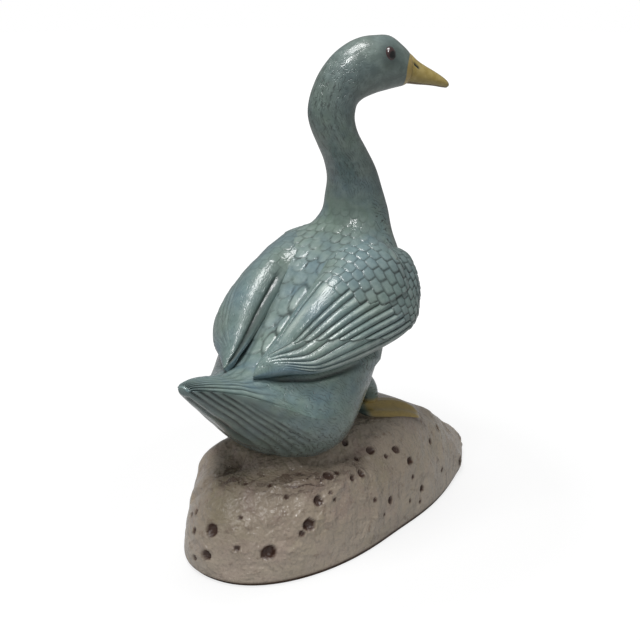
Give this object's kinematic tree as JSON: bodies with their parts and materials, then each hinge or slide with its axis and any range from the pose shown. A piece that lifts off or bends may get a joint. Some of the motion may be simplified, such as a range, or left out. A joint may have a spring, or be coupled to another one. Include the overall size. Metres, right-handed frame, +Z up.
{
  "type": "goose figurine",
  "caption": "Cast plaster goose standing on a pitted rock base, head turned to one side, with carved scale feathers, folded wings and a raised tail.",
  "frame": {"origin": "on the rock's flat underside, below the middle of the goose's trunk", "axes": "+Z up, the goose faces -Y, its left side is towards +X"},
  "size_m": [0.1306, 0.2813, 0.3029],
  "materials": {
    "painted_chalkware": "greyed turquoise and taupe paint over plaster under a clear gloss coat"
  },
  "bodies": {
    "root": {"goose_figurine": "painted_chalkware"}
  },
  "joints": []
}
